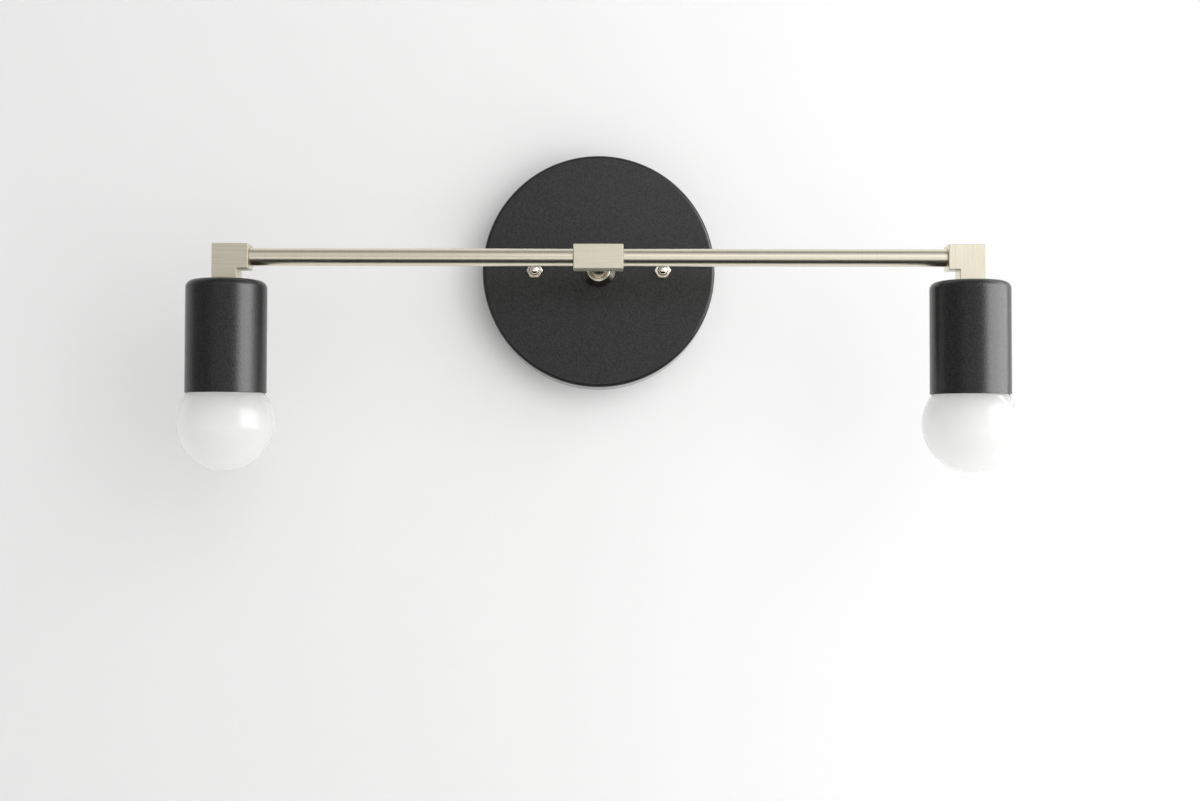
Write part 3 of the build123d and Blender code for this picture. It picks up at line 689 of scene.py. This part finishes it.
# Aluminium cap, rolled to its thread: bright on the crests and a little dull where it was handled.
cap_smudge = 6.0 * mm
cap_aluminium = mottled("rolled_aluminium", cap_smudge, 3.0, "#DCDCDD", (0.2, 0.36), bare_metal)

# Insulator of dark glass, and the solder button on it, cast in place with a slightly uneven skin.
glass_pit = 2.0 * mm
glass_pit_bump = (0.2, 0.1 * mm)
insulator_glass = mottled("black_insulator_glass", glass_pit, 2.0, "#15151A", 0.12, {}, glass_pit_bump)
solder_ripple = 1.5 * mm
solder_bump = (0.4, 0.15 * mm)
solder = mottled("cast_solder", solder_ripple, 3.0, "#B9BABD", 0.34, bare_metal, solder_bump)


def spread(pairs, columns):
    """Repeats (radius, height) pairs in each column, so that they fit a grid whose columns differ."""
    return np.repeat(np.array(pairs)[:, None], columns, 1)


for side_name in sides:
    globe_low, globe_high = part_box(side_name + "_lamp_globe")
    screw_low, screw_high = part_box(side_name + "_lamp_cap")
    insulator_low, insulator_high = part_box(side_name + "_lamp_insulator")
    tip_low, tip_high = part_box(side_name + "_lamp_tip")
    lamp_axis = ((globe_low.x + globe_high.x) / 2, (globe_low.y + globe_high.y) / 2, 0)
    body = side_name + "_lamp"

    # The globe is a sphere whose neck joins it by an arc that touches both.
    globe_radius = (globe_high.y - globe_low.y) / 2
    globe_z = globe_low.z + globe_radius
    blend_x = globe_neck_radius + neck_blend_radius
    blend_rise = math.sqrt((globe_radius + neck_blend_radius) ** 2 - blend_x**2)
    blend_angle = math.atan2(blend_rise, blend_x)
    blend_turn = math.pi + np.linspace(0, 1, neck_steps) * blend_angle
    sphere_turn = blend_angle - np.linspace(0, 1, globe_steps) * (blend_angle + math.pi / 2)
    neck_top = screw_low.z + neck_in_cap
    globe_profile = np.concatenate((
        ((0, neck_top), (globe_neck_radius - neck_lead_in, neck_top), (globe_neck_radius, screw_low.z)),
        np.stack((
            blend_x + neck_blend_radius * np.cos(blend_turn),
            globe_z + blend_rise + neck_blend_radius * np.sin(blend_turn),
        ), 1),
        np.stack((
            globe_radius * np.cos(sphere_turn),
            globe_z + globe_radius * np.sin(sphere_turn),
        ), 1)[1:],
    ))
    globe_grid = turned(globe_profile, lamp_axis, upwards, lamp_columns)
    opal_globe = add_piece(side_name + "_opal_globe", [globe_grid], opal_glass, closed=False)
    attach(opal_globe, body)
    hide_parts(side_name + "_lamp_globe")

    screw_radius = (screw_high.x - screw_low.x) / 2
    insulator_radius = (insulator_high.x - insulator_low.x) / 2
    screw_thread = threaded(
        screw_radius, screw_thread_depth, lamp_pitch, screw_low.z + screw_skirt,
        screw_high.z - screw_shoulder, lamp_pitch / 2, lamp_columns, lamp_turn_rows,
    )
    skirt = spread((
        (screw_radius - screw_skirt_edge, screw_low.z),
        (screw_radius, screw_low.z + screw_skirt_edge),
    ), lamp_columns)
    shoulder = spread((
        (insulator_radius, screw_high.z),
        (insulator_radius, screw_high.z - screw_crown),
    ), lamp_columns)
    screw_rows = capped(np.concatenate((skirt, screw_thread, shoulder)))
    screw_grid = turned(screw_rows, lamp_axis, upwards, lamp_columns)
    screw_cap = add_piece(side_name + "_screw_cap", [screw_grid], cap_aluminium, closed=False)
    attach(screw_cap, body)
    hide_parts(side_name + "_lamp_cap")

    tip_radius = (tip_high.x - tip_low.x) / 2
    insulator_profile = rounded(
        (
            (0, insulator_high.z),
            (tip_radius, insulator_high.z),
            (insulator_radius, insulator_low.z + insulator_seat),
            (insulator_radius, insulator_low.z),
            (0, insulator_low.z),
        ),
        (0, stem_edge, stem_edge, stem_edge, 0),
        closed=False,
    )
    insulator_grid = turned(insulator_profile, lamp_axis, upwards, insulator_columns)
    insulator_cone = add_piece(
        side_name + "_insulator_cone", [insulator_grid], insulator_glass, closed=False,
    )
    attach(insulator_cone, body)
    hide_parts(side_name + "_lamp_insulator")
    tip_profile = rounded(
        ((0, tip_high.z), (tip_radius, tip_high.z), (tip_radius, tip_low.z), (0, tip_low.z)),
        (0, tip_edge, stem_edge, 0),
        closed=False,
    )
    tip_grid = turned(tip_profile, lamp_axis, upwards, tip_columns)
    solder_tip = add_piece(side_name + "_solder_tip", [tip_grid], solder, closed=False)
    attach(solder_tip, body)
    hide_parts(side_name + "_lamp_tip")

# Inside each globe: a drawn glass stem, clear with a faint ripple, and the filaments that it carries,
# yellow and dusty with phosphor. The opal glass hides them until the globe is taken away.
glass_seed = 3.0 * mm
seed_bump = (0.05, 0.1 * mm)
clear_constants = {"IOR": 1.5, "Transmission Weight": 1.0}
clear_glass = mottled(
    "drawn_clear_glass", glass_seed, 1.0, "#F4F7F7", 0.03, clear_constants, seed_bump,
)
phosphor_grit = 0.8 * mm
phosphor_tones = ("#D9B43C", "#EBCB5A")
phosphor = mottled("yellow_phosphor", phosphor_grit, 2.0, phosphor_tones, 0.6, {})
for side_name in sides:
    dress(side_name + "_glass_stem", clear_glass)
    dress(side_name + "_filament_cage", phosphor)

# Leads: stranded wire in black and white vinyl, through the stem and the tubes to each holder.
# The vinyl is extruded, so it has a soft gloss with slow dull patches.
vinyl_patch = 4.0 * mm
for lead_name, code in (("live", "#1B1B1C"), ("neutral", "#E4E3DE")):
    vinyl = mottled(lead_name + "_lead_vinyl", vinyl_patch, 2.0, code, (0.32, 0.5), {"IOR": 1.52})
    for side_name in sides:
        dress(side_name + "_" + lead_name + "_lead", vinyl)

# Wire connectors: two moulded twist-on cones in orange plastic, one for each pair of leads.
# The cone is fluted for the fingers above a plain skirt, and the leads go in at its mouth.
connector_low, connector_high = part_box("wire_connectors")
connector_length = connector_high.x - connector_low.x
connector_radius = (connector_high.y - connector_low.y) / 2
connector_y = (connector_low.y + connector_high.y) / 2
connector_places = (connector_high.z - connector_radius, connector_low.z + connector_radius)
connector_skirt = 5.0 * mm
connector_tip_radius = 3.8 * mm
connector_bore_radius = 2.2 * mm
connector_bore_depth = 8.0 * mm
connector_edge = 0.8 * mm
connector_columns = 168
flute_count = 14
flute_depth = 0.7 * mm
flute_rise = 3.0 * mm  # length over which the flutes deepen above the skirt
flute_fall = 1.0 * mm  # length over which they run out at the tip

# Moulded plastic: an even orange, its gloss broken by the mould's fine grain.
mould_grain = 0.7 * mm
mould_bump = (0.15, 0.05 * mm)
connector_plastic = mottled(
    "moulded_orange_plastic", mould_grain, 2.0, "#D9601C", (0.36, 0.5), {"IOR": 1.49}, mould_bump,
)
connector_profile = rounded(
    (
        (0, connector_bore_depth),
        (connector_bore_radius, connector_bore_depth),
        (connector_bore_radius, 0),
        (connector_radius, 0),
        (connector_radius, connector_skirt),
        (connector_tip_radius, connector_length),
        (0, connector_length),
    ),
    (0, stem_edge, stem_edge, connector_edge, connector_edge, connector_edge, 0),
    closed=False,
)
connector_angles = np.linspace(0, 2 * math.pi, connector_columns, endpoint=False)
connector_rows = spread(connector_profile, connector_columns)
outer = connector_rows[..., 0] > connector_bore_radius + connector_edge
rise = np.clip((connector_rows[..., 1] - connector_skirt) / flute_rise, 0, 1)
fall = np.clip((connector_length - connector_rows[..., 1]) / flute_fall, 0, 1)
flute = flute_depth * (0.5 - 0.5 * np.cos(flute_count * connector_angles))
connector_rows[..., 0] -= outer * rise * fall * flute
connector_grids = [
    turned(connector_rows, (connector_low.x, connector_y, z), (1, 0, 0), connector_angles)
    for z in connector_places
]
twist_cones = add_piece("twist_cones", connector_grids, connector_plastic, closed=False)
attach(twist_cones, "fixture")
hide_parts("wire_connectors")

# Stage: a white wall behind the canopy and a pale floor below the frame.
# Seen from behind, or from below, they let the camera through, and the wall is open behind the canopy.
wall_gap = 0.3 * mm
wall_hole_radius = canopy_rim_radius - canopy_wall
stage_radius = 3.0
stage_columns = 256
floor_z = -0.75
paint_mottle = 1 / 12  # twelve patches to the metre
paint_smoothest, paint_dullest = 0.8, 0.9
wall_glare = (0.85, -0.03, 0.18)
floor_glare = (0.8, -2 * stage_radius, -stage_radius)


def stage_surface(name, code, profile, origin, axis, glare):
    """A flat ring of wall or floor: matte paint to its front, clear to rays that come from behind.

    glare is (share, start, end): plain white covers the paint by a share that grows along X from nothing
    at start to the full share at end, as in an overexposed picture. Only the eye and reflections see it.
    """
    full_share, glare_start, glare_end = glare
    material, tree, shader, place = new_material(name)
    behind = add_node(tree, "NewGeometry", {}).outputs["Backfacing"]
    clear = add_node(tree, "BsdfTransparent", {}).outputs["BSDF"]
    mottle = add_node(tree, "TexNoise", {"Vector": place, "Scale": 1 / paint_mottle, "Detail": 3.0})
    dullness = add_node(tree, "MapRange", {
        "Value": mottle.outputs["Fac"], "To Min": paint_smoothest, "To Max": paint_dullest,
    })
    feed(tree, shader, {
        "Base Color": linear(code), "Roughness": dullness.outputs["Result"], "Specular IOR Level": 0.1,
    })
    sideways = add_node(tree, "SeparateXYZ", {"Vector": place}).outputs["X"]
    share = add_node(tree, "MapRange", {
        "Value": sideways, "From Min": glare_start, "From Max": glare_end, "To Max": full_share,
    }).outputs["Result"]
    rays = add_node(tree, "LightPath", {}).outputs
    direct = {0: rays["Is Camera Ray"], 1: rays["Is Transmission Ray"]}
    eye = add_node(tree, "Math", direct, operation="MAXIMUM").outputs["Value"]
    seen = add_node(tree, "Math", {0: eye, 1: rays["Is Glossy Ray"]}, operation="MAXIMUM").outputs["Value"]
    lift = add_node(tree, "Math", {0: share, 1: seen}, operation="MULTIPLY").outputs["Value"]
    white = add_node(tree, "Emission", {"Strength": 1.0}).outputs["Emission"]
    front = add_node(tree, "MixShader", {0: lift, 1: shader.outputs["BSDF"], 2: white})
    chosen = add_node(tree, "MixShader", {0: behind, 1: front.outputs["Shader"], 2: clear})
    feed(tree, tree.nodes["Material Output"], {"Surface": chosen.outputs["Shader"]})
    surface_grid = turned(np.array(profile), origin, axis, stage_columns)
    surface = add_piece(name, [surface_grid], material, closed=False)
    surface.data.flip_normals()


wall_ring = ((wall_hole_radius, 0), (stage_radius, 0))
floor_disc = ((0, 0), (stage_radius, 0))
stage_surface("white_wall", "#F6F6F6", wall_ring, (0, wall_gap, 0), towards_room, wall_glare)
stage_surface("pale_floor", "#E6E6E4", floor_disc, (0, 0, floor_z), upwards, floor_glare)

# Light: a tall soft box on the right is the window, and a panel behind lights the canopy's back.
# Of the rest, four lamps show in reflections alone, two fills give soft light that no reflection
# shows, and one high panel gives both. The surround is pale and even.
surround_glossy = 0.32
surround_soft = 0.33
surround_seen = 0.93
quarter = math.pi / 2
to_wall = (quarter, 0, 0)
window_facing = (quarter, 0, math.radians(37.7))
sheen_facing = (quarter, 0, math.radians(42.9))
to_room = (quarter, 0, math.pi)
rightwards = (quarter, 0, -quarter)
back_facing = (-quarter * 0.75, 0, 0)
world = bpy.data.worlds.new("pale_surround")
bpy.context.scene.world = world
world.use_nodes = True
tree = world.node_tree
rays = add_node(tree, "LightPath", {}).outputs
direct = {0: rays["Is Camera Ray"], 1: rays["Is Transmission Ray"]}
seen = add_node(tree, "Math", direct, operation="MAXIMUM")
bright = add_node(tree, "Mix", {
    "Factor": rays["Is Glossy Ray"], "A": surround_soft, "B": surround_glossy,
}, data_type="FLOAT")
level = add_node(tree, "Mix", {
    "Factor": seen.outputs["Value"], "A": bright.outputs["Result"], "B": surround_seen,
}, data_type="FLOAT")
feed(tree, tree.nodes["Background"], {"Color": (1, 1, 1, 1), "Strength": level.outputs["Result"]})


def soft_box(name, centre, facing, width, height, radiance, soft=True, sheen=True):
    """A rectangular lamp that faces a direction; its power is radiance * pi * area.

    Without soft it shows in reflections alone, and without sheen no reflection shows it.
    """
    lamp = bpy.data.lights.new(name, "AREA")
    lamp.shape = "RECTANGLE"
    lamp.size, lamp.size_y = width, height
    lamp.energy = radiance * math.pi * width * height
    box = bpy.data.objects.new(name, lamp)
    box.location = centre
    box.rotation_euler = facing
    box.visible_camera = False
    box.visible_diffuse = soft
    box.visible_glossy = sheen
    bpy.context.scene.collection.objects.link(box)
    return box


def keep_off(box, names):
    """Flags a lamp off the pieces that are named, by a collection of receivers that are left out."""
    flagged = bpy.data.collections.new(box.name + "_flagged")
    for name in names:
        flagged.objects.link(bpy.data.objects[name])
    for member in flagged.collection_objects:
        member.light_linking.link_state = "EXCLUDE"
    box.light_linking.receiver_collection = flagged


soft_box("right_window", (1.235, -0.525, 0.3), window_facing, 1.55, 2.4, 0.92)
window_sheen = soft_box("window_sheen", (1.34, -0.525, 0.22), sheen_facing, 1.394, 1.18, 5.0, soft=False)
wall_glow = soft_box("wall_glow", (0.875, -0.012, 0.22), to_room, 0.85, 1.18, 4.5, soft=False)
near_panel = soft_box("near_panel", (0.4, -0.8, 0.245), to_wall, 0.9, 0.51, 0.54, soft=False)
soft_box("low_panel", (0.4, -2.4, -0.45), to_wall, 3.8, 0.6, 0.8, soft=False)
soft_box("high_panel", (0.45, -2.4, 1.65), to_wall, 3.5, 2.7, 0.45)
soft_box("front_fill", (0.85, -1.5, 0.15), to_wall, 1.6, 2.6, 1.28, sheen=False)
soft_box("left_fill", (-1.1, -0.35, -0.05), rightwards, 0.66, 1.0, 1.0, sheen=False)
soft_box("back_panel", (0.6, 1.8, 0.8), back_facing, 1.6, 1.2, 1.6)

# On brushed nickel the sheen and the glow show as blank white, so both are kept off it.
brushed_pieces = (
    "stem_tube", "tee_block", "left_bar_tube", "right_bar_tube", "left_elbow", "right_elbow",
)
keep_off(window_sheen, brushed_pieces)
keep_off(wall_glow, brushed_pieces)
keep_off(near_panel, ("left_cup_shell", "right_cup_shell"))

# Dark cards: two sheets of matte black card below the frame, which draw the dark line along the
# underside of each tube. Only reflections see them: the picture and the shadows pass them by.
card_z = -0.45
card_near, card_far = -0.85, -0.1
card_inner, card_outer = 0.0, 1.2
card_material, tree, shader, _ = new_material("dark_card")
feed(tree, shader, {"Base Color": linear("#1A1A1A"), "Roughness": 0.9, "Specular IOR Level": 0.0})
card_corners = [
    (side * across, y, card_z)
    for side in sides.values()
    for across in (card_inner, card_outer)
    for y in (card_near, card_far)
]
card_mesh = bpy.data.meshes.new("dark_cards")
card_mesh.from_pydata(card_corners, [], [(0, 1, 3, 2), (4, 6, 7, 5)])
card_mesh.materials.append(card_material)
dark_cards = bpy.data.objects.new("dark_cards", card_mesh)
bpy.context.scene.collection.objects.link(dark_cards)
dark_cards.visible_camera = False
dark_cards.visible_diffuse = False
dark_cards.visible_shadow = False
dark_cards.visible_transmission = False

# Camera: a little below the lower edge of the canopy, square to the wall and tilted up a little.
# Its lens and place were fitted to the object's outline, with the picture 1200 wide and 801 high.
camera_lens = 49.7
camera_sensor = 36.0
camera_place = (2.29 * mm, -925 * mm, -97.2 * mm)
camera_tilt = math.radians(1.67)
camera_roll = math.radians(-0.11)
camera_turn = math.radians(0.085)
camera = bpy.data.objects.new("camera", bpy.data.cameras.new("camera"))
camera.data.sensor_width = camera_sensor
camera.data.lens = camera_lens
camera.location = camera_place
camera.rotation_euler = (quarter + camera_tilt, camera_roll, camera_turn)
bpy.context.scene.collection.objects.link(camera)
bpy.context.scene.camera = camera
bpy.context.scene.view_settings.view_transform = "Standard"
